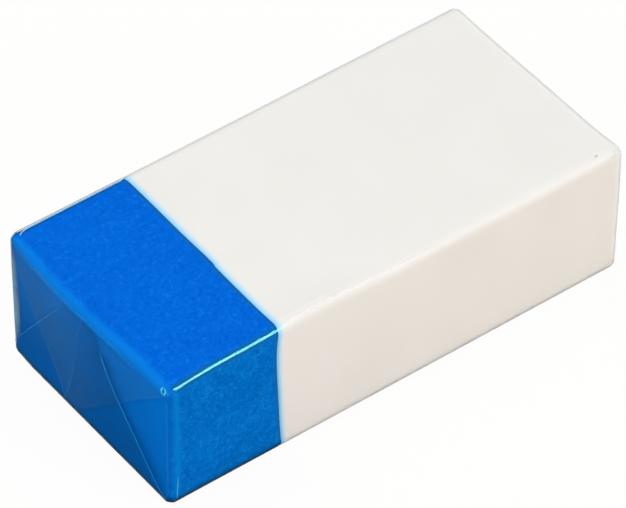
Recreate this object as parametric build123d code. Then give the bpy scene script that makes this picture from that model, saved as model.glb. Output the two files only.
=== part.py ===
from build123d import *
from itertools import combinations
import os

# A two-colour block eraser in its clear film wrapper, in millimetres.
# X runs along the block with the blue end at -X, and Z is up.
# The long side that faces -Y is called the near side, and the one that faces +Y the back.
# The origin is the middle of the flat underside.

# Rubber block
block_length = 39.6
block_width = 19.1
block_height = 11.6
block_edge_radius = 0.8

# Bond between the blue and the white rubber, which swells into the blue part way up
blue_length = 9.49  # along the near top edge
bond_foot = 0.06  # how much longer the blue is at its bottom edge
bond_lower_swell = 0.18
bond_crest_swell = 0.34
bond_shoulder_swell = 0.22
lower_swell_height = 3.8  # above the underside
crest_drop = 3.4  # below the top
shoulder_drop = 1.1
bond_back_gain = 0.2  # how much longer the blue is at the back
bond_wave = 0.03  # how far the bond wanders from its slant on the way

# Clear film and the room that it leaves round the block, which rests on it and lies against its near side
film_thickness = 0.03
film_edge_radius = 0.5  # inside, sharper than the edges that it bridges
near_slack = 0.02
back_slack = 0.06
top_slack = 0.05
end_slack = 0.02
seam_width = 5.0  # where the sheet laps over itself, along the back

# End folds: both side walls are tucked in first, then the top flap comes down
# and the bottom flap comes up, each a triangle with a second layer folded under it
tuck_lap = 3.5  # how far the tucks overlap in the middle
tuck_cut_skew = 1.3  # how far the near tuck's cut edge leans off upright, at each of its ends
flap_tip_gap = 0.6  # from a flap's tip to the edge that it reaches for
top_tip_offset = 1.8  # flap tips lie this far behind the middle
bottom_tip_offset = 1.45
back_fold_drop = 0.95  # the slanting folds start this far from the corner at the back
near_fold_drop = 0.35
tuck_layers = 1
flap_layers = 2

# Sizes that follow
cavity_length = block_length + 2 * end_slack
cavity_width = block_width + near_slack + back_slack
cavity_height = block_height + top_slack
wrapper_width = cavity_width + 2 * film_thickness
wrapper_height = cavity_height + 2 * film_thickness
wrapper_edge_radius = film_edge_radius + film_thickness
wrapper_middle_y = -film_thickness / 2  # the lap on the back makes that wall one film thicker
block_middle_y = wrapper_middle_y + (near_slack - back_slack) / 2
spare = 2.0  # how far the cutting shapes reach past what they cut


def rounded_box(length, width, height, radius, middle_y, bottom):
    """A box with every edge rounded, standing at the height of its bottom face."""
    box = Pos(0, middle_y, bottom + height / 2) * Box(length, width, height)
    return fillet(box.edges(), radius)


def rubber():
    """The whole block, blue and white together."""
    return rounded_box(
        block_length, block_width, block_height, block_edge_radius, block_middle_y, film_thickness
    )


def bond_section(y, gain):
    """The blue side of the bond at one place across the block, as a face that the loft goes through."""
    blue_face = -block_length / 2
    bottom = film_thickness
    top = bottom + block_height
    bond = blue_face + blue_length + gain
    points = [
        (bond + bond_foot, bottom),
        (bond - bond_lower_swell, bottom + lower_swell_height),
        (bond - bond_crest_swell, top - crest_drop),
        (bond - bond_shoulder_swell, top - shoulder_drop),
        (bond, top),
    ]
    (low_x, low_z), (high_x, high_z) = points[0], points[-1]
    low, high = low_z - spare, high_z + spare
    plane = Plane(origin=(0, y, 0), x_dir=(1, 0, 0), z_dir=(0, -1, 0))
    line = Polyline((low_x, low_z), (low_x, low), (blue_face - spare, low))
    line += Polyline((blue_face - spare, low), (blue_face - spare, high), (high_x, high), (high_x, high_z))
    line += Spline(*points)
    return plane * make_face(line)


def blue_side():
    """Everything on the blue side of the bond, wider and taller than the block."""
    half = block_width / 2
    sections = [
        bond_section(block_middle_y - half - spare, 0),
        bond_section(block_middle_y - half / 4, bond_back_gain * 3 / 8 - bond_wave),
        bond_section(block_middle_y + half / 4, bond_back_gain * 5 / 8 + bond_wave),
        bond_section(block_middle_y + half + spare, bond_back_gain),
    ]
    return loft(sections)


def wrapped_form(layers):
    """The outside of the wrapper if its ends were this many films thick all over."""
    length = cavity_length + 2 * layers * film_thickness
    return rounded_box(
        length, wrapper_width, wrapper_height, wrapper_edge_radius, wrapper_middle_y, 0
    )


def end_region(points):
    """A region of the end face from its corners as (y, z)."""
    return Plane.YZ * make_face(Polyline(*points, close=True))


def tuck_overlap():
    """Where the near tuck lies over the back one."""
    back_tuck_cut = wrapper_middle_y - tuck_lap / 2
    near_tuck_cut = wrapper_middle_y + tuck_lap / 2
    return end_region([
        (back_tuck_cut, -spare),
        (near_tuck_cut + tuck_cut_skew, -spare),
        (near_tuck_cut + tuck_cut_skew, 0),
        (near_tuck_cut - tuck_cut_skew, wrapper_height),
        (near_tuck_cut - tuck_cut_skew, wrapper_height + spare),
        (back_tuck_cut, wrapper_height + spare),
    ])


def flap(hinge_height, towards, tip_offset):
    """The top or bottom flap, from its hinge edge to its tip; towards is the way that it is folded."""
    back = wrapper_middle_y + wrapper_width / 2
    near = wrapper_middle_y - wrapper_width / 2
    beyond = hinge_height - towards * spare
    tip = (wrapper_middle_y + tip_offset, hinge_height + towards * (wrapper_height - flap_tip_gap))
    return end_region([
        (back + spare, beyond),
        (back + spare, hinge_height + towards * back_fold_drop),
        (back, hinge_height + towards * back_fold_drop),
        tip,
        (near, hinge_height + towards * near_fold_drop),
        (near - spare, hinge_height + towards * near_fold_drop),
        (near - spare, beyond),
    ])


def end_layers():
    """What is folded over the inmost layer at the blue end, as thick as the films that lie there."""
    regions = [
        (tuck_overlap(), tuck_layers),
        (flap(wrapper_height, -1, top_tip_offset), flap_layers),
        (flap(0, 1, bottom_tip_offset), flap_layers),
    ]
    inside = -cavity_length / 2 + 2 * wrapper_edge_radius
    outside = -cavity_length / 2 - spare
    folded = []
    for how_many in range(1, len(regions) + 1):
        for chosen in combinations(regions, how_many):
            shared = chosen[0][0]
            for region, _ in chosen[1:]:
                shared = shared & region
            layers = tuck_layers + sum(count for _, count in chosen)
            column = Pos(outside, 0, 0) * extrude(shared, amount=inside - outside, dir=(1, 0, 0))
            folded.append(wrapped_form(layers) & column)
    return folded


def seam():
    """The lap along the back, one film proud of the wall and as deep again within it."""
    length = cavity_length - 2 * film_edge_radius
    wall = wrapper_middle_y + wrapper_width / 2
    return Pos(0, wall, wrapper_height / 2) * Box(length, 2 * film_thickness, seam_width)


def wrapper():
    outside = wrapped_form(tuck_layers) + seam()
    for layer in end_layers():
        outside = outside + layer + mirror(layer, about=Plane.YZ)
    cavity = rounded_box(
        cavity_length, cavity_width, cavity_height, film_edge_radius, wrapper_middle_y, film_thickness
    )
    return outside - cavity


block = rubber()
blue = blue_side()
parts = {
    "white_block": block - blue,
    "blue_block": block & blue,
    "clear_wrapper": wrapper(),
}

os.makedirs("parts", exist_ok=True)
for node, shape in parts.items():
    shape.label = node
    export_step(shape, "parts/" + node + ".step")
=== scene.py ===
import math

import bpy
import numpy as np
from mathutils import Matrix, Vector, noise


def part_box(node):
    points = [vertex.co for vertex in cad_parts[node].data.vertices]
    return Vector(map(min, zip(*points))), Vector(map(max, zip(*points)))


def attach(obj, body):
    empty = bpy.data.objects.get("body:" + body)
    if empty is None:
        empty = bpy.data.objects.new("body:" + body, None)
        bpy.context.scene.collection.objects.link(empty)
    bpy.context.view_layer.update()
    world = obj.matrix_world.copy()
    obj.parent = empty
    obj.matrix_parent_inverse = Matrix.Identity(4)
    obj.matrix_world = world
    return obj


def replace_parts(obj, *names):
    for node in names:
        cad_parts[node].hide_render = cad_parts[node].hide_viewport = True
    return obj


# A two-colour block eraser in clear film. Sizes are in millimetres and become metres in the meshes.
# X runs along the block with the blue end at -X, -Y is the near side, and Z is up.
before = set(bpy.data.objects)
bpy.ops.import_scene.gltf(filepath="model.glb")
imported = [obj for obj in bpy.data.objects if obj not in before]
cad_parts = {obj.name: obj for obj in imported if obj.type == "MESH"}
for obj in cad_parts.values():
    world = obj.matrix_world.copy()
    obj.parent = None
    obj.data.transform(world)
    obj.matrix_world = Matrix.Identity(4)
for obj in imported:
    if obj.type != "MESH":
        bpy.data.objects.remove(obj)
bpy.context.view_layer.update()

MM = 0.001


def node_box(node):
    low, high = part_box(node)
    return np.array(low) / MM, np.array(high) / MM


# Places of the rubber and the wrapper, from the frame
block_low = node_box("blue_block")[0]
block_high = node_box("white_block")[1]
block_height = block_high[2] - block_low[2]
block_middle_y = (block_low[1] + block_high[1]) / 2
block_half_width = (block_high[1] - block_low[1]) / 2
wrapper_low, wrapper_high = node_box("clear_wrapper")

# Rubber
block_edge_radius = 0.8
end_top_radius = 1.05  # the blue end's top edge, away from its corners
rubber_pitch = 0.34  # between the points of the rubber's flat faces
rubber_unevenness = 0.02
# The blue end's face has painted light and shade across it
painted_end_light_range = 0.51  # from the darkest to the lightest of the blue end's face

# Bond between the two rubbers, the same as in the solids
blue_length = 9.49
bond_heights = (0.0, 3.8, block_height - 3.4, block_height - 1.1, block_height)
bond_swells = (0.06, -0.18, -0.34, -0.22, 0.0)
bond_back_gain = 0.2
bond_wave = 0.03
bond_reach = 2.0
groove_depth = 0.03
groove_width = 0.12

# A small step in the bond's line on top, and its places across the block
bond_kink = 0.09
kink_foot = -1.95
kink_crest = -1.35
kink_end = 3.0

# How far the rubber presses out into the folds, and into the film where its edges are sharper
end_fill = 0.1
blue_back_fill = 0.13
white_back_fill = 0.17
white_end_fill = 0.15
blue_back_corner_fill = 0.15
bottom_fill = 0.13

# Film
wall_thickness = 0.03
fold_thickness = 0.02
film_edge_radius = 0.53
film_pitch = 0.6
film_slackness = 0.025
seam_width = 5.0
seam_proud = 0.03
layers_deep = 0.05  # the innermost layer on each end
shell_low = wrapper_low + np.array([layers_deep, 0, 0])
shell_high = wrapper_high - np.array([layers_deep, seam_proud, 0])
shell_width = shell_high[1] - shell_low[1]
shell_height = shell_high[2] - shell_low[2]

# Heights of the folded layers above the innermost one
top_gusset_level = 0.022
top_shade_level = 0.045
top_flap_level = 0.056
bottom_shade_level = 0.075
bottom_gusset_level = 0.092
bottom_flap_level = 0.13
crease_shade_level = 0.138
crease_level = 0.15
mark_thickness = 0.008  # of the sheets that carry a crease, a shadow or a glint

# How much the film mirrors face on
gleam_over_blue = 0.003
gleam_at_edges = 0.017  # added over the blue's rounded edges
gleam_over_white = 0.0015
gleam_of_folds = 0.001

# How the soft block and its film depart from a true box
corner_wear = 0.07  # every corner is worn back
end_bow = 0.42  # the blue end's top edge bulges outward
end_bow_skew = 1.25  # above 1, the bulge is fullest behind the middle
near_edge_draw = 0.12  # the near top edge is drawn in and up beside the bond
near_edge_place = -7.0
near_edge_reach = 4.5
corner_sag = 0.3  # the near top corner at the blue end sags
corner_sag_reach = 2.0
corner_push = 0.13  # the near upright edge at the white end stands out
foot_push = 0.115  # the bottom edge at the blue end stands out
back_edge_lean = 0.08  # the back top edge rises toward the white end

# Colours of what clouds the film, and of the light and shade painted into it
# Painted glints at the blue end's near top corner and near foot
painted_cyan_glint_tint = (0.12, 0.8, 1.0)
lap_tint = (0.6, 0.75, 0.9)
# Painted highlight over the white's near top edge
painted_white_glint_tint = (1.0, 0.99, 0.95)
cloud_tint = (0.16, 0.27, 0.27)
# Painted shade along the bottom edges, haze with painted light or shade along the back, and a painted
# highlight and dark line on the blue's back top edge
painted_shadow_blue_tint = (0.004, 0.06, 0.15)
haze_and_painted_light_tint = (0.2, 0.44, 0.68)
painted_highlight_edge_tint = (0.3, 0.6, 0.95)
painted_shade_edge_tint = (0.03, 0.12, 0.22)
haze_and_painted_shade_grey = (0.62, 0.61, 0.58)
speck_tint = (0.3, 0.3, 0.3)
# Haze and painted shade in the strip at the blue end's back edge
strip_haze_and_painted_shade_tint = (0.175, 0.32, 0.5)


class Tones:
    """The tints of the folded film at one end: of its creases, pale partly as a painted highlight, of its
    painted shadows, and of the top and the bottom flap at their back and near sides, haze and on the blue
    end partly painted light and shade. Haze scales how dense the flaps' tints are."""

    def __init__(self, crease, shadow, top, bottom, haze):
        self.crease, self.shadow, self.top, self.bottom, self.haze = crease, shadow, top, bottom, haze


# Over the blue, the top flap's grey tint is partly haze and partly a painted reflection, and the near
# side of the bottom flap is tinted dark as painted shade
over_blue_tones = Tones(
    crease=(0.035, 0.44, 1.0),
    shadow=(0.0, 0.02, 0.06),
    top=((0.14, 0.27, 0.25), (0.08, 0.3, 0.3)),
    bottom=((0.04, 0.2, 0.37), (0.005, 0.06, 0.11)),
    haze=1.0,
)
over_white_tones = Tones(
    crease=(0.96, 0.98, 1.0),
    shadow=(0.4, 0.41, 0.42),
    top=((0.7, 0.72, 0.74), (0.72, 0.74, 0.75)),
    bottom=((0.66, 0.68, 0.7), (0.68, 0.69, 0.7)),
    haze=0.7,
)

# Divisions of the meshes
edge_steps = 5  # from a flat face to the middle of a rounded edge
border_width = 1.6  # a band of closer points beside the rounded edges
border_pitch = 0.16
flap_rows, flap_columns = 56, 26
gusset_rows, gusset_columns = 30, 14
mark_step = 0.3  # along a crease, a shadow or a glint

# View of the photograph, whose frame is 626 by 508 pixels
photo_width = 626
focal_pixels = 5543.0
centre_shift_right = 4.41
centre_shift_up = 4.43
view_azimuth = math.radians(-37.0)
view_elevation = math.radians(44.38)
view_roll = math.radians(0.13)
view_distance = 394.9
sensor_width = 36.0

# Floor
floor_reach = 600.0
floor_drop = 0.004  # so that it doesn't lie in one plane with the underside


# Meshes

def stations(low, high, radius, pitch, round_low=True, round_high=True):
    """Places along one side of a box, closer together where it rounds off and beside that."""
    angles = [math.radians(45) * (1 - k / edge_steps) for k in range(edge_steps)]
    turn = [radius * (1 - math.tan(angle)) for angle in angles] + [radius]
    border = list(np.arange(radius + border_pitch, radius + border_width, border_pitch))
    *close, last = turn + border
    start = low + last if round_low else low
    end = high - last if round_high else high
    places = list(np.linspace(start, end, max(2, round((end - start) / pitch)) + 1))
    if round_low:
        places = [low + step for step in close] + places
    if round_high:
        places += [high - step for step in reversed(close)]
    return np.array(places)


def lattice(xs, ys, zs):
    """Points and four-sided faces all over a box, on the places along its three sides."""
    counts = [len(xs), len(ys), len(zs)]
    quads = []
    for axis in range(3):
        a, b = (axis + 1) % 3, (axis + 2) % 3
        ia, ib = np.meshgrid(np.arange(counts[a] - 1), np.arange(counts[b] - 1), indexing="ij")
        for end in (0, counts[axis] - 1):
            corners = []
            for da, db in ((0, 0), (1, 0), (1, 1), (0, 1)):
                index = [None, None, None]
                index[axis] = np.full(ia.size, end)
                index[a] = (ia + da).ravel()
                index[b] = (ib + db).ravel()
                corners.append((index[0] * counts[1] + index[1]) * counts[2] + index[2])
            quad = np.stack(corners, 1)
            quads.append(quad if end else quad[:, ::-1])
    used, quads = np.unique(np.concatenate(quads), return_inverse=True)
    i, rest = np.divmod(used, counts[1] * counts[2])
    j, k = np.divmod(rest, counts[2])
    return np.stack([xs[i], ys[j], zs[k]], 1), quads.reshape(-1, 4)


def rounded(points, low, high, radius):
    """Moves points on a box's flat sides onto its rounded form, and gives the way out there."""
    radius = np.broadcast_to(radius, len(points))[:, None]
    inner = np.clip(points, low + radius, high - radius)
    out = points - inner
    normals = out / np.maximum(np.linalg.norm(out, axis=1), 1e-9)[:, None]
    places = inner + normals * np.abs(out).max(1)[:, None]
    return places - normals * (corner_wear * cornered(normals))[:, None], normals


def turned(normals):
    """0 on the flat faces and 1 in the middle of the rounded edges."""
    return np.clip(2 * (1 - (normals ** 2).max(1)), 0, 1)


def cornered(normals):
    """0 on the flat faces and along the edges, and 1 in the middle of the corners."""
    return 3 ** 1.5 * np.abs(normals.prod(1))


def settled(points):
    """Carries points of the true box to the block's own form, rubber and film alike."""
    x, y, z = points.T
    at_blue_end = smooth_step(-x, 17.3, 19.3)
    at_white_end = smooth_step(x, 17.5, 19.3)
    across = np.clip((y + 9.5) / 19.0, 0, 1)
    bow = end_bow * np.sin(np.pi * across ** end_bow_skew) * at_blue_end * smooth_step(z, 2.0, 10.5)
    near_top_edge = smooth_step(-y, 7.0, 9.3) * smooth_step(z, 8.0, 11.4)
    drawn = near_edge_draw * np.exp(-((x - near_edge_place) / near_edge_reach) ** 2) * near_top_edge
    from_corner = ((x + 19.6) ** 2 + (y + 9.3) ** 2) / corner_sag_reach ** 2
    sag = corner_sag * np.exp(-from_corner) * smooth_step(z, 3.0, 11.4)
    back_top_edge = smooth_step(y, 6.0, 9.5) * smooth_step(z, 6.0, 11.5)
    lean = back_edge_lean * smooth_step(x, -8.0, 22.0) * back_top_edge
    push = corner_push * at_white_end * smooth_step(-y, 6.0, 9.0) * smooth_step(z, 0.0, 8.0)
    foot = foot_push * at_blue_end * smooth_step(-z, -4.0, -0.5) * smooth_step(-y, -9.5, -7.0)
    return points + np.stack([push - bow - foot, drawn + lean, drawn - sag + lean], 1)


def wander(points, size, seed):
    """Smooth noise from -1 to 1 at each point, with waves of about this size."""
    shift = Vector((seed * 7.31, seed * 3.17, seed * 5.53))
    return np.array([noise.noise(Vector(p) / size + shift) for p in points])


def smooth_step(value, start, end):
    """0 up to the start and 1 from the end on, with a soft rise between."""
    t = np.clip((value - start) / (end - start), 0, 1)
    return t * t * (3 - 2 * t)


def piece(name, points, quads, material, slot, tint=None, **attributes):
    """A piece of the object from its points in millimetres and its faces."""
    mesh = bpy.data.meshes.new(name)
    mesh.from_pydata((points * MM).tolist(), [], quads.tolist())
    for label, values in attributes.items():
        layer = mesh.attributes.new(label, "FLOAT", "POINT")
        layer.data.foreach_set("value", np.asarray(values, np.float32))
    if tint is not None:
        layer = mesh.attributes.new("tint", "FLOAT_COLOR", "POINT")
        rgba = np.concatenate([tint, np.ones((len(tint), 1))], 1)
        layer.data.foreach_set("color", np.asarray(rgba, np.float32).ravel())
    mesh.polygons.foreach_set("use_smooth", [True] * len(mesh.polygons))
    mesh.materials.append(material)
    obj = bpy.data.objects.new(name, mesh)
    bpy.context.scene.collection.objects.link(obj)
    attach(obj, "root")
    return obj


# Materials

class Shader:
    """A material's nodes, added one by one."""

    def __init__(self, name):
        self.material = bpy.data.materials.new(name)
        self.material.use_nodes = True
        self.tree = self.material.node_tree
        self.tree.nodes.clear()
        self.place = self.add("ShaderNodeTexCoord").outputs["Object"]

    def add(self, kind, inputs=None, **settings):
        node = self.tree.nodes.new(kind)
        for key, value in settings.items():
            setattr(node, key, value)
        for key, value in (inputs or {}).items():
            if isinstance(value, bpy.types.NodeSocket):
                self.tree.links.new(value, node.inputs[key])
            else:
                node.inputs[key].default_value = value
        return node

    def noise(self, size, detail=2.0, roughness=0.5, distortion=0.0):
        """Noise from 0 to 1 with lumps of about this size in millimetres."""
        inputs = {
            "Vector": self.place, "Scale": 1 / (size * MM), "Detail": detail,
            "Roughness": roughness, "Distortion": distortion,
        }
        return self.add("ShaderNodeTexNoise", inputs).outputs["Fac"]

    def math(self, operation, *values, clamp=False):
        inputs = dict(enumerate(values))
        return self.add("ShaderNodeMath", inputs, operation=operation, use_clamp=clamp).outputs[0]

    def ramp(self, value, start, end, low=0.0, high=1.0):
        """Low up to the start and high from the end on, with a soft rise between."""
        inputs = {"Value": value, "From Min": start, "From Max": end, "To Min": low, "To Max": high}
        return self.add("ShaderNodeMapRange", inputs, interpolation_type="SMOOTHSTEP").outputs["Result"]

    def attribute(self, label):
        return self.add("ShaderNodeAttribute", attribute_name=label).outputs["Fac"]

    def normal(self):
        """The way that the surface faces, along X, Y and Z."""
        geometry = self.add("ShaderNodeNewGeometry")
        return self.add("ShaderNodeSeparateXYZ", {0: geometry.outputs["Normal"]}).outputs

    def blend(self, share, first, second):
        """Mixes two colours."""
        inputs = {"Factor": share, 6: first, 7: second}
        return self.add("ShaderNodeMix", inputs, data_type="RGBA").outputs[2]

    def tinted(self, colour, label, most, tint):
        """Tints a colour where the mesh carries this mark, at most by this share."""
        return self.blend(self.ramp(self.attribute(label), 0.0, 1.0, 0.0, most), colour, tint)

    def mix(self, share, first, second):
        """Mixes two shaders."""
        return self.add("ShaderNodeMixShader", {0: share, 1: first, 2: second}).outputs[0]

    def finish(self, surface):
        self.add("ShaderNodeOutputMaterial", {"Surface": surface})
        return self.material


def rgb(red, green, blue):
    return (red, green, blue, 1.0)


def white_rubber():
    s = Shader("white_rubber")
    broad = s.noise(6.0, detail=3.0)
    fine = s.noise(0.5, detail=4.0, roughness=0.6)
    colour = s.blend(s.ramp(broad, 0.3, 0.7), rgb(0.795, 0.786, 0.752), rgb(0.818, 0.81, 0.775))
    # The top has its own cooler tone: painted light
    top = s.blend(s.ramp(broad, 0.3, 0.7), rgb(0.798, 0.802, 0.782), rgb(0.815, 0.819, 0.8))
    colour = s.blend(s.ramp(s.normal()["Z"], 0.6, 0.95), colour, top)
    colour = s.blend(s.ramp(fine, 0.35, 0.75, 0.0, 0.25), colour, rgb(0.78, 0.775, 0.745))
    # Painted shade on the near top rounded edge and toward the bottom edges, painted light on the rounded
    # edges round the white end
    colour = s.tinted(colour, "near_top", 0.8, rgb(0.772, 0.784, 0.768))
    colour = s.tinted(colour, "pale", 0.9, rgb(0.84, 0.855, 0.845))
    colour = s.tinted(colour, "low", 0.35, rgb(0.6, 0.59, 0.58))
    colour = s.blend(s.ramp(s.attribute("bond"), 0.0, 0.6, 1.0, 0.0), colour, rgb(0.33, 0.7, 1.0))
    rough = s.ramp(fine, 0.3, 0.7, 0.5, 0.62)
    bump = s.add("ShaderNodeBump", {"Height": fine, "Strength": 0.25, "Distance": 0.02 * MM})
    body = s.add("ShaderNodeBsdfPrincipled", {
        "Base Color": colour, "Roughness": rough, "Normal": bump.outputs[0],
        "Subsurface Weight": 0.12, "Subsurface Radius": (1.0, 0.9, 0.75), "Subsurface Scale": 0.5 * MM,
        "Specular IOR Level": 0.05,
    })
    return s.finish(body.outputs[0])


def blue_rubber():
    s = Shader("blue_rubber")
    normal = s.normal()
    on_side = s.ramp(s.math("ABSOLUTE", normal["Y"]), 0.45, 0.95)
    on_end = s.ramp(s.math("ABSOLUTE", normal["X"]), 0.5, 0.95)
    broad = s.noise(3.2, detail=3.0)
    lumps = s.noise(0.9, detail=3.0, roughness=0.6, distortion=0.5)
    fine = s.noise(0.3, detail=3.0, roughness=0.65, distortion=0.8)
    threads = s.noise(0.42, detail=2.0, roughness=0.5, distortion=2.2)
    thread = s.ramp(s.math("ABSOLUTE", s.math("SUBTRACT", threads, 0.5)), 0.0, 0.045, 1.0, 0.0)
    few_threads = s.math("MULTIPLY", thread, s.ramp(lumps, 0.4, 0.65, 0.1, 0.5))
    many_threads = s.math("MULTIPLY", thread, s.ramp(lumps, 0.4, 0.6, 0.2, 1.0))

    flat = s.blend(s.ramp(broad, 0.3, 0.7), rgb(0.0008, 0.118, 0.64), rgb(0.0009, 0.128, 0.665))
    flat = s.blend(s.ramp(fine, 0.5, 0.7, 0.0, 0.85), flat, rgb(0.004, 0.185, 0.77))
    flat = s.blend(few_threads, flat, rgb(0.007, 0.2, 0.81))
    flat = s.blend(s.ramp(fine, 0.46, 0.3, 0.0, 0.55), flat, rgb(0.0001, 0.086, 0.555))

    side = s.blend(s.ramp(broad, 0.35, 0.65), rgb(0.0003, 0.138, 0.53), rgb(0.0005, 0.155, 0.585))
    side = s.blend(many_threads, side, rgb(0.007, 0.275, 0.79))
    side = s.blend(s.ramp(fine, 0.54, 0.7, 0.0, 0.8), side, rgb(0.005, 0.26, 0.78))
    side = s.blend(s.ramp(fine, 0.45, 0.3, 0.0, 0.85), side, rgb(0.0001, 0.088, 0.42))

    # Painted light and shade across the end's face, from the light mark
    light = s.ramp(s.attribute("light"), 0.0, 1.0)
    end = s.blend(light, rgb(0.0005, 0.11, 0.425), rgb(0.0005, 0.182, 0.675))
    end = s.blend(s.ramp(broad, 0.3, 0.7, 0.0, 0.06), end, rgb(0.0005, 0.1, 0.4))
    # Top, sides and end have their own tones: partly their own texture, partly painted light and shade
    colour = s.blend(on_end, s.blend(on_side, flat, side), end)

    # Painted light: the glow mark lightens the end's rounded top edge and a band by its near upright edge
    glow = s.blend(s.ramp(normal["Z"], 0.25, 0.65), rgb(0.002, 0.212, 0.655), rgb(0.003, 0.215, 0.77))
    colour = s.tinted(colour, "glow", 0.95, glow)
    # Painted shade: the rim mark darkens the rounded edges
    colour = s.tinted(colour, "rim", 0.9, rgb(0.007, 0.13, 0.34))
    colour = s.blend(s.ramp(s.attribute("bond"), 0.02, 0.5, 0.8, 0.0), colour, rgb(0.01, 0.135, 0.42))
    # Painted shade toward the bottom edges
    colour = s.tinted(colour, "low", 0.8, rgb(0.004, 0.075, 0.2))
    rough = s.ramp(lumps, 0.3, 0.7, 0.42, 0.58)
    bump = s.add("ShaderNodeBump", {"Height": fine, "Strength": 0.2, "Distance": 0.02 * MM})
    body = s.add("ShaderNodeBsdfPrincipled", {
        "Base Color": colour, "Roughness": rough, "Normal": bump.outputs[0], "Specular IOR Level": 0.0,
    })
    return s.finish(body.outputs[0])


def clear_film(name, rise):
    """Clear film: a thin gloss, and as a veil of some tint what clouds it and the light and shade painted
    into it.

    The rise is how much more it mirrors edge on."""
    s = Shader(name)
    through = s.add("ShaderNodeBsdfTransparent", {"Color": rgb(0.992, 0.996, 1.0)}).outputs[0]
    swell = s.noise(4.0, detail=0.0)
    bump = s.add("ShaderNodeBump", {"Height": swell, "Strength": 0.02, "Distance": 0.02 * MM})
    gloss = s.add("ShaderNodeBsdfGlossy", {
        "Color": rgb(1, 1, 1), "Roughness": 0.1, "Normal": bump.outputs[0],
    }).outputs[0]
    facing = s.add("ShaderNodeLayerWeight", {"Blend": 0.5}).outputs["Facing"]
    edge_on = s.math("MULTIPLY", s.math("POWER", facing, 5.0), rise)
    clear = s.mix(s.math("ADD", edge_on, s.attribute("gleam"), clamp=True), through, gloss)
    tint = s.add("ShaderNodeAttribute", attribute_name="tint").outputs["Color"]
    dull = s.add("ShaderNodeBsdfDiffuse", {"Color": tint}).outputs[0]
    streaks = s.ramp(s.noise(2.5, detail=4.0, distortion=1.5), 0.3, 0.7, 0.8, 1.2)
    return s.finish(s.mix(s.math("MULTIPLY", s.attribute("veil"), streaks, clamp=True), clear, dull))


# Rubber

bond_profile = np.polynomial.Polynomial.fit(bond_heights, bond_swells, len(bond_heights) - 1)
bond_places = (
    block_middle_y - block_half_width - bond_reach,
    block_middle_y - block_half_width / 4,
    block_middle_y + block_half_width / 4,
    block_middle_y + block_half_width + bond_reach,
)
bond_gains = (0.0, bond_back_gain * 3 / 8 - bond_wave, bond_back_gain * 5 / 8 + bond_wave, bond_back_gain)
bond_slant = np.polynomial.Polynomial.fit(bond_places, bond_gains, 3)


def bond_at(y, z):
    """How far along X the two rubbers meet."""
    kink = bond_kink * smooth_step(y, kink_foot, kink_crest) * smooth_step(y, kink_end, kink_crest)
    near_top = smooth_step(z, block_high[2] - 1.2, block_high[2] - 0.2)
    return block_low[0] + blue_length + bond_slant(y) + bond_profile(z - block_low[2]) + kink * near_top


def outline_fill(places, normals, back_fill):
    """How far the rubber fills the film's edges and corners beyond its own rounding."""
    x, y, z = places.T
    back = back_fill * smooth_step(y, 8.0, 9.2) * smooth_step(z, 6.0, 9.0)
    white_end = white_end_fill * smooth_step(x, 18.3, 19.4)
    blue_back = blue_back_corner_fill * smooth_step(-x, 18.5, 19.4) * smooth_step(y, 7.5, 9.0)
    bottom = bottom_fill * smooth_step(-z, -1.2, -0.5)
    edge, corner = turned(normals), cornered(normals)
    upper = np.maximum(back, white_end) * (edge + 0.6 * corner)
    lower = np.maximum(bottom, blue_back) * (edge + corner)
    return np.maximum(upper, lower)


def rubber_marks(points, normals):
    """Where light and shade are painted into the rubber's colour: for each kind of mark, how much at each
    point.
    """
    x, y, z = points.T
    nx, ny, nz = normals.T
    upper_end = smooth_step(-nx, 0.1, 0.35) * smooth_step(nz, 0.0, 0.25)
    near_upright = smooth_step(-nx, 0.15, 0.5) * smooth_step(-ny, 0.15, 0.5)
    # Painted shade on the rounded edges, apart from the blue end's top and near upright edges
    rim = smooth_step(turned(normals), 0.05, 0.5) * (1 - upper_end) * (1 - near_upright)
    sway = 1 + 0.25 * wander(points, 1.2, 4)
    # Painted light on the blue end's rounded top edge, and in a band beside its near upright edge
    end_top_painted_light = smooth_step(nz, 0.08, 0.28) * smooth_step(-nx * sway, 0.06, 0.8)
    end_top_painted_light *= 0.5 + 0.5 * smooth_step(nz, 0.2, 0.75)
    near_edge_painted_light = np.exp(-((x + 19.22) / 0.24) ** 2) * smooth_step(-ny, 0.5, 0.8)
    across = block_high[1] - y
    # Painted light and shade across the blue end's face: darker toward the bottom, lighter toward the top
    # and the near side
    light = 0.006 * z + 0.2 * smooth_step(across, 1.5, 11.0) + 0.06 * smooth_step(across, 16.0, 18.5)
    light += 0.11 * (1 - smooth_step(across, 8.0, 13.0)) * smooth_step(z, 2.5, 8.0)
    light += 0.08 * smooth_step(z, 7.0, 10.5) + 0.1 * smooth_step(z, 0.5, 6.0)
    # Painted shade on the near top rounded edge
    near_top = smooth_step(-ny, 0.05, 0.35) * smooth_step(nz, 0.1, 0.6)
    return {
        "rim": rim,
        "glow": np.maximum(end_top_painted_light, near_edge_painted_light),
        # Painted shade toward the bottom edges
        "low": smooth_step(-z, -1.3, -0.12) * smooth_step(1 - np.abs(nz), 0.0, 0.3),
        "light": light / painted_end_light_range,
        # Painted light on the rounded edges round the white end
        "pale": smooth_step(nx, 0.05, 0.5) * smooth_step(1 - nx, 0.02, 0.2) * smooth_step(z, 1.0, 2.0),
        "near_top": near_top * (1 - smooth_step(-ny, 0.65, 0.95)),
    }


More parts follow.
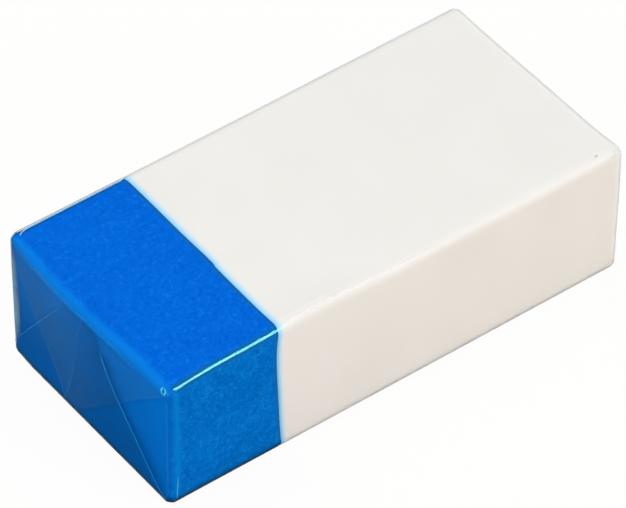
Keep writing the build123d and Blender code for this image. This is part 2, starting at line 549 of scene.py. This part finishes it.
def rubber_half(name, material, slot, blue):
    """One of the two rubbers, rounded at its outer edges and cut by the bond."""
    radius = block_edge_radius
    near_bond = block_low[0] + blue_length
    low, high = block_low - [end_fill, 0, 0], block_high + [end_fill, 0, 0]
    ends = (low[0], near_bond) if blue else (near_bond, high[0])
    xs = stations(*ends, radius, rubber_pitch, round_low=blue, round_high=not blue)
    ys = stations(block_low[1], block_high[1], radius, rubber_pitch)
    zs = stations(block_low[2], block_high[2], radius, rubber_pitch)
    points, quads = lattice(xs, ys, zs)

    # Past the bond the rounded box goes on, so that only its outer edges are rounded
    if blue:
        high[0] = near_bond + 2 * radius
    else:
        low[0] = near_bond - 2 * radius
    end_top = smooth_step(-points[:, 0], 16.5, 18.0) * smooth_step(points[:, 2], 8.5, 10.0)
    end_top *= smooth_step(block_half_width - np.abs(points[:, 1] - block_middle_y), 0.4, 2.5)
    points, normals = rounded(points, low, high, radius + (end_top_radius - radius) * end_top)

    # From the rounded end on, the points are stretched to meet the bond
    start = block_low[0] + 1.5 * radius if blue else block_high[0] - 1.5 * radius
    share = (points[:, 0] - start) / (near_bond - start)
    bond = bond_at(points[:, 1], points[:, 2])
    points[:, 0] = np.where(share > 0, start + share * (bond - start), points[:, 0])
    distance = np.abs(points[:, 0] - bond)

    sunk = groove_depth * np.exp(-(distance / groove_width) ** 2)
    sunk += rubber_unevenness * (0.5 + 0.5 * wander(points, 3.0, 1))
    sunk[points[:, 2] < block_low[2] + radius] *= 0.2
    filled = outline_fill(points, normals, blue_back_fill if blue else white_back_fill)
    own_form = settled(points + normals * (filled - sunk)[:, None])
    marks = rubber_marks(points, normals)
    obj = piece(name, own_form, quads, material, slot, bond=distance, **marks)
    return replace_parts(obj, "blue_block" if blue else "white_block")


# Film

def film_dip(points):
    """How far the film lies inside its full form."""
    taut = smooth_step(-points[:, 1], 7.8, 9.2) * smooth_step(points[:, 2], 9.5, 11.0)
    dip = film_slackness * (0.5 + 0.5 * wander(points, 5.0, 2) * (1 - 0.85 * taut))
    return np.where(points[:, 2] < film_edge_radius, 0.2 * dip, dip)


def on_wall(points, lift):
    """Carries points on the wrapper's sharp-edged box to its wall, raised off it by the lift."""
    places, normals = rounded(points, shell_low, shell_high, film_edge_radius)
    return settled(places + normals * (lift - film_dip(places))[:, None]), normals


def over(veil, tint, more, colour):
    """Lays a second veil over a first: how dense the two are together, and their tint."""
    total = 1 - (1 - veil) * (1 - more)
    share = (more / np.maximum(total, 1e-6))[..., None]
    return total, tint * (1 - share) + np.array(colour) * share


def over_blue(places, spread=0.05):
    """1 where the film lies over the blue rubber, and 0 over the white."""
    return smooth_step(bond_at(places[:, 1], places[:, 2]) - places[:, 0], -spread, spread)


def wall_veil(places, normals):
    """How the wall's outer edges cloud the film where it is stretched round the block, with light and
    shade painted in there too.
    """
    blue = over_blue(places)
    edge = smooth_step(turned(normals), 0.0, 0.5)
    x, y, z = places.T
    back = smooth_step(normals[:, 1], 0.05, 0.35) * edge
    white_end = smooth_step(x, 18.5, 19.5) * edge
    bottom = smooth_step(-z, -1.0, -0.4) * edge
    end_bottom = bottom * smooth_step(-x, 18.0, 19.5)
    end_back = smooth_step(-normals[:, 0], 0.8, 0.95) * smooth_step(y, 0.0, 6.0)
    end_back *= smooth_step(z, 1.5, 7.0)
    veil, tint = over(np.zeros(len(places)), np.zeros((len(places), 3)), 0.05 * end_back, cloud_tint)
    # Over the blue's back edges a pale band: partly haze, partly painted light
    veil, tint = over(veil, tint, 0.4 * back * blue, haze_and_painted_light_tint)
    # Grey along the white's back edges and its end: partly haze, partly painted shade
    veil, tint = over(veil, tint, 0.2 * np.maximum(back * (1 - blue), 0.8 * white_end), haze_and_painted_shade_grey)
    # Painted shade along the bottom edges: dark over the blue, grey over the white
    veil, tint = over(veil, tint, (0.6 + 0.2 * end_bottom) * bottom * blue, painted_shadow_blue_tint)
    return over(veil, tint, 0.3 * bottom * (1 - blue), haze_and_painted_shade_grey)


def film_wall(material):
    """The wrapper's wall as a closed sheet of film all round the block."""
    sides = [stations(shell_low[i], shell_high[i], film_edge_radius, film_pitch) for i in range(3)]
    box_points, quads = lattice(*sides)
    places, normals = rounded(box_points, shell_low, shell_high, film_edge_radius)
    outer, _ = on_wall(box_points, np.zeros(len(box_points)))
    inner = outer - normals * wall_thickness
    points = np.concatenate([outer, inner])
    faces = np.concatenate([quads, quads[:, ::-1] + len(outer)])
    veil, tint = wall_veil(places, normals)
    veil, tint = np.concatenate([veil, np.zeros(len(outer))]), np.tile(tint, (2, 1))
    shine = gleam_over_blue + gleam_at_edges * smooth_step(turned(normals), 0.1, 0.6)
    blue = over_blue(places, 0.4)
    gleam = np.tile(blue * shine + (1 - blue) * gleam_over_white, 2)
    obj = piece("film_wall", points, faces, material, "clear_film", tint, veil=veil, gleam=gleam)
    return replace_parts(obj, "clear_wrapper")


class Sheets:
    """Layers of film laid on the wrapper's wall, gathered into one piece."""

    def __init__(self):
        self.points, self.faces, self.veils, self.tints, self.count = [], [], [], [], 0

    def lay(self, places, lift, thickness, veil, tint):
        """Adds a sheet, veiled on its outer face, from a grid of places on the sharp-edged box."""
        rows, columns = places.shape[:2]
        middle, normals = on_wall(places.reshape(-1, 3), lift.ravel())
        half = normals * (thickness.ravel() / 2)[:, None]
        index = np.arange(rows * columns).reshape(rows, columns)
        corners = [index[:-1, :-1], index[1:, :-1], index[1:, 1:], index[:-1, 1:]]
        quad = np.stack(corners, -1).reshape(-1, 4)
        rim = np.concatenate([index[0], index[1:, -1], index[-1, -2::-1], index[-2:0:-1, 0]])
        ahead = np.roll(rim, -1)
        total = rows * columns
        walls = np.stack([rim, ahead, ahead + total, rim + total], 1)
        along = places[1, 0] - places[0, 0]
        across = places[0, 1] - places[0, 0]
        if np.cross(along, across) @ normals[0] < 0:
            quad, walls = quad[:, ::-1], walls[:, ::-1]
        faces = np.concatenate([quad, quad[:, ::-1] + total, walls[:, ::-1]])
        self.points += [middle + half, middle - half]
        self.faces.append(faces + self.count)
        self.veils += [veil.ravel(), np.zeros(total)]
        self.tints += [np.broadcast_to(tint, (rows, columns, 3)).reshape(-1, 3)] * 2
        self.count += 2 * total

    def piece(self, name, material):
        points, faces = np.concatenate(self.points), np.concatenate(self.faces)
        veils, tints = np.concatenate(self.veils), np.concatenate(self.tints)
        gleam = np.full(len(points), gleam_of_folds)
        return piece(name, points, faces, material, "clear_film", tints, veil=veils, gleam=gleam)


class Flap:
    """A flap's slanting folds. Distances along it run from the back edge, and heights from its hinge."""

    def __init__(self, hinge, back_start, near_start, tip_height, tip_back, tip_near, back_bow, near_bow):
        self.hinge = hinge  # the side that the flap comes from, "top" or "bottom"
        self.back_start, self.near_start = back_start, near_start
        self.tip_height, self.tip_back, self.tip_near = tip_height, tip_back, tip_near
        self.back_bow, self.near_bow = back_bow, near_bow

    def edges(self, height):
        """The flap's two edges at heights above its hinge."""
        back = np.clip((height - self.back_start) / (self.tip_height - self.back_start), 0, 1)
        near = np.clip((height - self.near_start) / (self.tip_height - self.near_start), 0, 1)
        back_edge = self.tip_back * back + self.back_bow * 4 * back * (1 - back)
        near_line = shell_width + (self.tip_near - shell_width) * near
        return back_edge, near_line + self.near_bow * 4 * near * (1 - near)


bottom_flap = Flap(
    "bottom", back_start=0.9, near_start=0.34, tip_height=11.1, tip_back=7.75, tip_near=11.48,
    back_bow=-0.14, near_bow=-1.59,
)
top_flap = Flap(
    "top", back_start=0.18, near_start=0.28, tip_height=10.8, tip_back=6.8, tip_near=8.38,
    back_bow=0.0, near_bow=0.0,
)
tuck_cut_foot = 6.45  # the near tuck's cut edge, from the back edge at the bottom
tuck_cut_lean = 0.277
hinge_start = 0.25  # where a flap comes out of the wall round its hinge, and where it lies flat
hinge_end = 1.3
tip_rise = 0.02
# Fold edges are pale: partly the crease's whitening, partly a painted highlight
fold_reach = 0.1  # how far in from its edge a fold is pale and thick
fold_swell = 0.8


def end_grid(end, flap, heights, back_edges, near_edges, columns):
    """Places on an end for rows at these heights, with columns close together beside the row's edges.

    With them come how far each lies from the back, and how far inside its row's edges."""
    beside = np.array([0.0, 0.04, 0.08, 0.13, 0.22, 0.4])
    rows = []
    for height, back, near in zip(heights, back_edges, near_edges):
        close = beside * min(1.0, (near - back) / 2.5)
        inner = np.linspace(back + close[-1], near - close[-1], columns)
        across = np.concatenate([back + close[:-1], inner, near - close[-2::-1]])
        y = shell_high[1] - across
        z = shell_low[2] + height if flap.hinge == "bottom" else shell_high[2] - height
        rows.append(np.stack([np.full_like(y, end * shell_high[0]), y, np.full_like(y, z)], 1))
    grid = np.array(rows)
    away = shell_high[1] - grid[..., 1]
    inset = np.minimum(away - np.array(back_edges)[:, None], np.array(near_edges)[:, None] - away)
    return grid, away, np.maximum(inset, 0)


def add_flap(sheets, end, flap, level, lines, fade, haze, tones, turn):
    """A flap from its hinge to its tip.

    The level is how high it lies, lines how pale its back and near edges are, partly as a painted
    highlight, and fade the height at which each of them gives out. Haze is how dense the flap's tint is
    at the back and at the near side, as haze and on the blue end partly as painted light and shade, and
    turn is where across the end the one gives way to the other."""
    tints = tones.bottom if flap.hinge == "bottom" else tones.top
    heights = np.linspace(hinge_start, flap.tip_height, flap_rows)
    back, near = flap.edges(heights)
    grid, away, inset = end_grid(end, flap, heights, back, near, flap_columns)
    height = heights[:, None]

    # The flap sinks into the wall at its hinge and at the end's corners, and its tip stands off a little
    settle = smooth_step(height, hinge_start, hinge_end)
    flat = settle * smooth_step(np.minimum(away, shell_width - away), 0.0, 0.8)
    lift = level * flat - 0.5 * wall_thickness * (1 - flat)
    lift = lift + tip_rise * smooth_step(height, flap.tip_height - 2.0, flap.tip_height)

    folded = np.exp(-(inset / fold_reach) ** 2)
    nearer = away > (back + near)[:, None] / 2
    pale = np.where(nearer, lines[1], lines[0])
    gone = np.where(nearer, fade[1], fade[0])
    pale = pale * smooth_step(height, 0.2, 0.9) * (1 - smooth_step(height, gone - 0.8, gone + 0.3))
    nearness = smooth_step(away, *turn)
    # The flap's tint: haze, and on the blue end painted light and shade; over it the pale fold lines,
    # partly a painted highlight
    haze_and_painted_light = tones.haze * (haze[0] + (haze[1] - haze[0]) * nearness) * settle
    tint = np.array(tints[0]) * (1 - nearness[..., None]) + np.array(tints[1]) * nearness[..., None]
    veil, tint = over(haze_and_painted_light, tint, folded * pale, tones.crease)
    sheets.lay(grid, lift, fold_thickness * (1 + fold_swell * folded), veil, tint)


def add_gusset(sheets, end, flap, level, shift, line, tones):
    """The near tuck's layer under a flap, out to the tuck's cut edge."""
    heights = np.linspace(0.35, flap.tip_height - 0.7, gusset_rows)
    rise = heights if flap.hinge == "bottom" else shell_height - heights
    cut = tuck_cut_foot + tuck_cut_lean * rise + shift
    near = np.maximum(flap.edges(heights)[1] - 0.12, cut + 0.2)
    grid, away, _ = end_grid(end, flap, heights, cut, near, gusset_columns)
    from_corner = smooth_step(shell_width - away, 0.1, 0.8)
    lift = level * from_corner - 0.5 * wall_thickness * (1 - from_corner)
    # The cut edge is pale: partly the crease's whitening, partly a painted highlight
    veil = np.exp(-((away - cut[:, None]) / fold_reach) ** 2) * line + 0.004
    sheets.lay(grid, lift, np.full(away.shape, fold_thickness), veil, tones.crease)


def on_end(end):
    """Gives the places on an end, from how far they are across it from the back and how high."""
    def place(across, rise):
        return (end * shell_high[0], shell_high[1] - across, shell_low[2] + rise)
    return place


def on_near_side(x, rise):
    return (x, shell_low[1], shell_low[2] + rise)


def on_top(x, y):
    return (x, y, shell_high[2])


def ribbon(sheets, place, path, offsets, veils, tint, lift, ends=(0.5, 0.5), waver=0.0):
    """A crease, shadow or glint in the film along a path, which place carries onto the wrapper.

    The offsets to its sides have their own veils, and it fades over the two lengths at its ends."""
    path = np.array(path, float)
    run = np.concatenate([[0], np.cumsum(np.hypot(*np.diff(path, axis=0).T))])
    stops = np.linspace(0, run[-1], max(6, round(run[-1] / mark_step)))
    line = np.stack([np.interp(stops, run, path[:, i]) for i in range(2)], 1)
    smooth = line.copy()
    for _ in range(3):
        smooth[1:-1] = (smooth[:-2] + 2 * smooth[1:-1] + smooth[2:]) / 4
    way = np.gradient(smooth, axis=0)
    way /= np.hypot(*way.T)[:, None]
    side = np.stack([-way[:, 1], way[:, 0]], 1)
    if waver:
        sway = np.array([noise.noise(Vector((s / 1.5, 3.1, 7.7))) for s in stops])
        smooth = smooth + side * (waver * sway)[:, None]
    grid = np.array([
        [place(*(spot + way_out * offset)) for offset in offsets] for spot, way_out in zip(smooth, side)
    ])
    fade = smooth_step(stops, 0, ends[0]) * smooth_step(run[-1] - stops, 0, ends[1])
    veil = fade[:, None] * np.array(veils)[None, :]
    sheets.lay(grid, np.full(veil.shape, lift), np.full(veil.shape, mark_thickness), veil, tint)


def line_across(width, strength):
    """Offsets and veils of a soft-edged line."""
    offsets = np.linspace(-width, width, 7)
    return offsets, strength * np.cos(offsets / width * math.pi / 2) ** 2


def shade_beside(width, strength):
    """Offsets and veils of a shadow that starts at a line and fades to one side.

    A negative width puts it on the other side."""
    offsets = np.linspace(0, width, 5)
    return offsets, strength * (1 - np.abs(offsets / width)) ** 1.5


def end_marks(sheets, end, tones):
    """Painted shadows beside the folds on an end, and the fine pale line down its near edge, partly a
    painted highlight.
    """
    place = on_end(end)
    heights = np.linspace(0.9, 9.6, 16)
    path = np.stack([bottom_flap.edges(heights)[1] + 0.03, heights], 1)
    ribbon(sheets, place, path, *shade_beside(-1.3, 0.2), tones.shadow, bottom_shade_level)
    drops = np.linspace(0.6, 10.6, 16)
    path = np.stack([top_flap.edges(drops)[1] + 0.03, shell_height - drops], 1)
    ribbon(sheets, place, path, *shade_beside(0.4, 0.08), tones.shadow, top_shade_level)
    heights = np.linspace(1.4, 9.8, 12)
    path = np.stack([bottom_flap.edges(heights)[0] - 0.03, heights], 1)
    ribbon(sheets, place, path, *shade_beside(0.25, 0.06), tones.shadow, bottom_shade_level)
    upright = [(18.98, 10.85), (18.96, 7.76), (18.92, 4.08), (19.04, 0.8)]
    ribbon(sheets, place, upright, *line_across(0.14, 0.15), tones.crease, 0.03, (0.6, 0.3))


# Marks that only the blue end has: (across, rise) on the end, (x, rise) on the near side, (x, y) on top
top_crease = [
    (1.93, 11.06), (2.7, 11.14), (3.86, 11.27), (4.96, 11.32), (6.03, 11.35), (7.09, 11.38),
    (8.08, 11.31), (9.13, 11.35), (11.16, 11.36), (13.13, 11.3), (14.1, 11.26), (14.98, 11.09),
    (15.9, 11.0), (16.5, 10.94),
]
top_crease_shade_drop = 0.42
# The strip along the back edge: the gathered film's haze, and painted shade of what shows through it
back_strip = [(1.2, 11.0), (1.2, 9.1), (1.3, 7.0), (1.3, 4.6), (1.15, 2.7), (0.95, 1.5)]
back_strip_offsets = (-1.02, -0.8, -0.55, -0.35, -0.15, 0.0)
back_strip_veils = (0.85, 0.88, 0.8, 0.62, 0.35, 0.05)
# A painted highlight and a painted dark line of shade along the blue's back top edge
painted_highlight_back_edge = [(-19.42, 8.75), (-19.32, 8.98), (-19.05, 9.11), (-15.0, 9.12), (-10.3, 9.12)]
painted_shade_back_edge = [(-19.8, 8.9), (-19.7, 9.25), (-19.3, 9.42), (-15.0, 9.42), (-10.3, 9.42)]
# Paths of painted glints: a leaf-shaped wrinkle and a dash at the near top corner, and a line at the near
# foot
corner_leaf = (
    [(18.52, 11.82), (18.42, 11.5), (18.36, 11.17), (18.72, 11.05)],
    [(18.52, 11.82), (18.8, 11.7), (18.97, 11.5), (18.72, 11.05)],
)
corner_dash = [(18.95, 11.6), (19.05, 11.4), (19.21, 11.1)]
near_foot_line = [(-19.23, 2.8), (-19.3, 0.6)]
near_creases = (
    [(-19.6, 5.6), (-19.45, 5.1), (-19.6, 4.7)],
    [(-19.5, 3.9), (-19.38, 3.4), (-19.52, 3.1)],
)


def blue_end_marks(sheets, tones):
    """The pale crease along the top of the blue end, partly a painted highlight, with painted shade below
    it, the strip at its back edge, the painted highlight and painted dark line of its back top edge,
    painted glints at its near top corner and foot, and the small pale creases round its near edge."""
    place = on_end(-1)
    line = line_across(0.14, 0.2)
    ribbon(sheets, place, top_crease, *line, tones.crease, crease_level, (1.5, 1.0), waver=0.1)
    shade = np.array(top_crease) - [0.0, top_crease_shade_drop]
    line = line_across(0.3, 0.05)
    ribbon(sheets, place, shade, *line, tones.shadow, crease_shade_level, (1.5, 3.0), waver=0.1)
    ribbon(sheets, place, back_strip, back_strip_offsets, back_strip_veils, strip_haze_and_painted_shade_tint, 0.005, (1.8, 1.0))
    ribbon(sheets, on_top, painted_highlight_back_edge, *line_across(0.11, 0.95), painted_highlight_edge_tint, 0.012, (0.1, 0.3))
    ribbon(sheets, on_top, painted_shade_back_edge, *line_across(0.16, 0.6), painted_shade_edge_tint, 0.01, (0.1, 0.3))
    for side in corner_leaf:
        ribbon(sheets, place, side, *line_across(0.11, 0.85), painted_cyan_glint_tint, 0.03, (0.1, 0.1))
    ribbon(sheets, place, corner_dash, *line_across(0.1, 0.8), painted_cyan_glint_tint, 0.03)
    ribbon(sheets, on_near_side, near_foot_line, *line_across(0.08, 0.4), painted_cyan_glint_tint, 0.02)
    for path in near_creases:
        ribbon(sheets, on_near_side, path, *line_across(0.06, 0.14), tones.crease, 0.02, (0.15, 0.15))


def end_folds(end, name, material, tones):
    """Both flaps on an end, the bottom one outermost, with the tuck's layers under them."""
    sheets = Sheets()
    add_gusset(sheets, end, top_flap, top_gusset_level, shift=0.06, line=0.35, tones=tones)
    add_flap(
        sheets, end, top_flap, top_flap_level,
        lines=(0.15, 0.1), fade=(10.6, 10.6), haze=(0.1, 0.07), tones=tones, turn=(8.0, 13.0),
    )
    sheets.piece(name + "_top_flap", material)
    sheets = Sheets()
    add_gusset(sheets, end, bottom_flap, bottom_gusset_level, shift=-0.07, line=0.16, tones=tones)
    add_flap(
        sheets, end, bottom_flap, bottom_flap_level,
        lines=(0.4, 0.75), fade=(10.3, 9.6), haze=(0.06, 0.18), tones=tones, turn=(4.0, 12.0),
    )
    sheets.piece(name + "_bottom_flap", material)
    sheets = Sheets()
    # The creases, and the painted shadows, highlights and glints, as one piece
    end_marks(sheets, end, tones)
    if end < 0:
        blue_end_marks(sheets, tones)
    sheets.piece(name + "_creases_and_painted_light", material)


def back_lap(material):
    """The band along the back where the sheet laps over itself."""
    middle = (shell_low[2] + shell_high[2]) / 2
    reach = shell_high[0] - film_edge_radius
    xs = np.linspace(-reach, reach, 90)
    beside = np.array([0.0, 0.05, 0.12])
    rises = np.concatenate([beside, np.linspace(0.3, seam_width - 0.3, 9), seam_width - beside[::-1]])
    zs = middle - seam_width / 2 + rises
    grid = np.array([[(x, shell_high[1], z) for z in zs] for x in xs])
    inset = np.minimum(grid[..., 2] - zs[0], zs[-1] - grid[..., 2])
    sheets = Sheets()
    veil = 0.1 * np.exp(-(inset / 0.08) ** 2) + 0.01
    lift, thickness = np.full(inset.shape, seam_proud / 2), np.full(inset.shape, fold_thickness)
    sheets.lay(grid, lift, thickness, veil, lap_tint)
    sheets.piece("back_lap", material)


def speck(material):
    """A grey speck on the white top, in its near corner at the white end."""
    sheets = Sheets()
    path = [(17.75, -9.05), (18.1, -9.05)]
    ribbon(sheets, on_top, path, *line_across(0.11, 0.5), speck_tint, 0.01, (0.1, 0.1))
    sheets.piece("speck", material)


def painted_edge_glint(material):
    """A painted highlight: a narrow pale line in the film over the near top edge of the white, strongest
    beside the bond.
    """
    sheets = Sheets()
    y = shell_low[1] + 0.3
    path = [(-10.1, y), (-4.0, y), (4.0, y)]
    ribbon(sheets, on_top, path, *line_across(0.14, 0.3), painted_white_glint_tint, 0.01, (0.2, 9.0))
    sheets.piece("painted_edge_glint", material)


# Stage

def softbox(name, direction, distance, width, radiance, colour, glossy=True, diffuse=True):
    """A square light that faces the block from a direction; radiance is its brightness to the eye."""
    way = Vector(direction).normalized()
    data = bpy.data.lights.new(name, "AREA")
    data.shape = "SQUARE"
    data.size = width * MM
    data.energy = radiance * math.pi * (width * MM) ** 2
    data.color = colour
    light = bpy.data.objects.new(name, data)
    light.location = way * distance * MM
    light.rotation_euler = way.to_track_quat("Z", "Y").to_euler()
    light.visible_camera = False
    light.visible_glossy = glossy
    light.visible_diffuse = diffuse
    light.visible_transmission = False
    bpy.context.scene.collection.objects.link(light)


def studio_world():
    """White behind the block, soft and even round it, and dark where the film would mirror it."""
    world = bpy.data.worlds.new("studio")
    world.use_nodes = True
    bpy.context.scene.world = world
    tree = world.node_tree
    tree.nodes.clear()
    path = tree.nodes.new("ShaderNodeLightPath")
    output = tree.nodes.new("ShaderNodeOutputWorld")

    def background(colour, strength):
        node = tree.nodes.new("ShaderNodeBackground")
        node.inputs["Color"].default_value = colour
        node.inputs["Strength"].default_value = strength
        return node.outputs[0]

    def choose(share, first, second):
        node = tree.nodes.new("ShaderNodeMixShader")
        tree.links.new(share, node.inputs[0])
        tree.links.new(first, node.inputs[1])
        tree.links.new(second, node.inputs[2])
        return node.outputs[0]

    even = background(rgb(1.0, 0.99, 0.97), 0.55)
    dark = background(rgb(0.8, 0.9, 1.0), 0.03)
    white = background(rgb(1, 1, 1), 0.985)
    lit = choose(path.outputs["Is Glossy Ray"], even, dark)
    tree.links.new(choose(path.outputs["Is Camera Ray"], lit, white), output.inputs["Surface"])


def floor():
    """A plain pale floor, as light as the background where the camera sees it."""
    half, z = floor_reach * MM, -floor_drop * MM
    corners = [(-half, -half, z), (half, -half, z), (half, half, z), (-half, half, z)]
    mesh = bpy.data.meshes.new("floor")
    mesh.from_pydata(corners, [], [(0, 1, 2, 3)])
    s = Shader("pale_floor")
    seen = s.add("ShaderNodeLightPath").outputs["Is Camera Ray"]
    plain = s.add("ShaderNodeBsdfDiffuse", {"Color": rgb(0.62, 0.62, 0.62)}).outputs[0]
    faint = s.add("ShaderNodeBsdfDiffuse", {"Color": rgb(0.05, 0.05, 0.05)}).outputs[0]
    glow = s.add("ShaderNodeEmission", {"Color": rgb(1, 1, 0.995), "Strength": 0.942}).outputs[0]
    pale = s.add("ShaderNodeAddShader", {0: faint, 1: glow}).outputs[0]
    mesh.materials.append(s.finish(s.mix(seen, plain, pale)))
    obj = bpy.data.objects.new("floor", mesh)
    obj.visible_glossy = False
    bpy.context.scene.collection.objects.link(obj)


def camera():
    """The photograph's view."""
    a, e = view_azimuth, view_elevation
    back = Vector((math.sin(a) * math.cos(e), -math.cos(a) * math.cos(e), math.sin(e)))
    level = Vector((math.cos(a), math.sin(a), 0))
    upright = back.cross(level)
    right = math.cos(view_roll) * level + math.sin(view_roll) * upright
    up = -math.sin(view_roll) * level + math.cos(view_roll) * upright
    data = bpy.data.cameras.new("camera")
    data.sensor_width = sensor_width
    data.lens = focal_pixels * sensor_width / photo_width
    data.shift_x = -centre_shift_right / photo_width
    data.shift_y = -centre_shift_up / photo_width
    data.clip_start = 0.01
    data.clip_end = 10.0
    obj = bpy.data.objects.new("camera", data)
    middle = Vector(((wrapper_low + wrapper_high) / 2 * MM).tolist())
    turn = Matrix((right, up, back)).transposed().to_4x4()
    obj.matrix_world = Matrix.Translation(middle + back * view_distance * MM) @ turn
    bpy.context.scene.collection.objects.link(obj)
    bpy.context.scene.camera = obj


# Scene

camera()
studio_world()
floor()
softbox("top_light", (-0.25, 0.35, 0.9), 450, 360, 2.0, (1.0, 0.99, 0.97), glossy=False)
softbox("near_light", (0.43, -0.80, 0.45), 420, 330, 2.9, (1.0, 0.835, 0.74), glossy=False)
softbox("near_shine", (0.43, -0.70, 0.57), 420, 260, 21.0, (0.28, 0.9, 1.0), diffuse=False)
softbox("end_light", (-0.85, -0.2, 0.45), 420, 240, 1.7, (0.95, 0.98, 1.0), glossy=False)

rubber_half("white_body", white_rubber(), "white_rubber", blue=False)
rubber_half("blue_end", blue_rubber(), "blue_rubber", blue=True)
wall_film = clear_film("clear_film", 0.25)
folded_film = clear_film("folded_film", 0.05)
film_wall(wall_film)
end_folds(-1, "blue_end", folded_film, over_blue_tones)
end_folds(1, "white_end", folded_film, over_white_tones)
back_lap(folded_film)
speck(folded_film)
painted_edge_glint(folded_film)

scene = bpy.context.scene
scene.view_settings.view_transform = "Standard"
scene.cycles.use_denoising = True
scene.cycles.transparent_max_bounces = 64
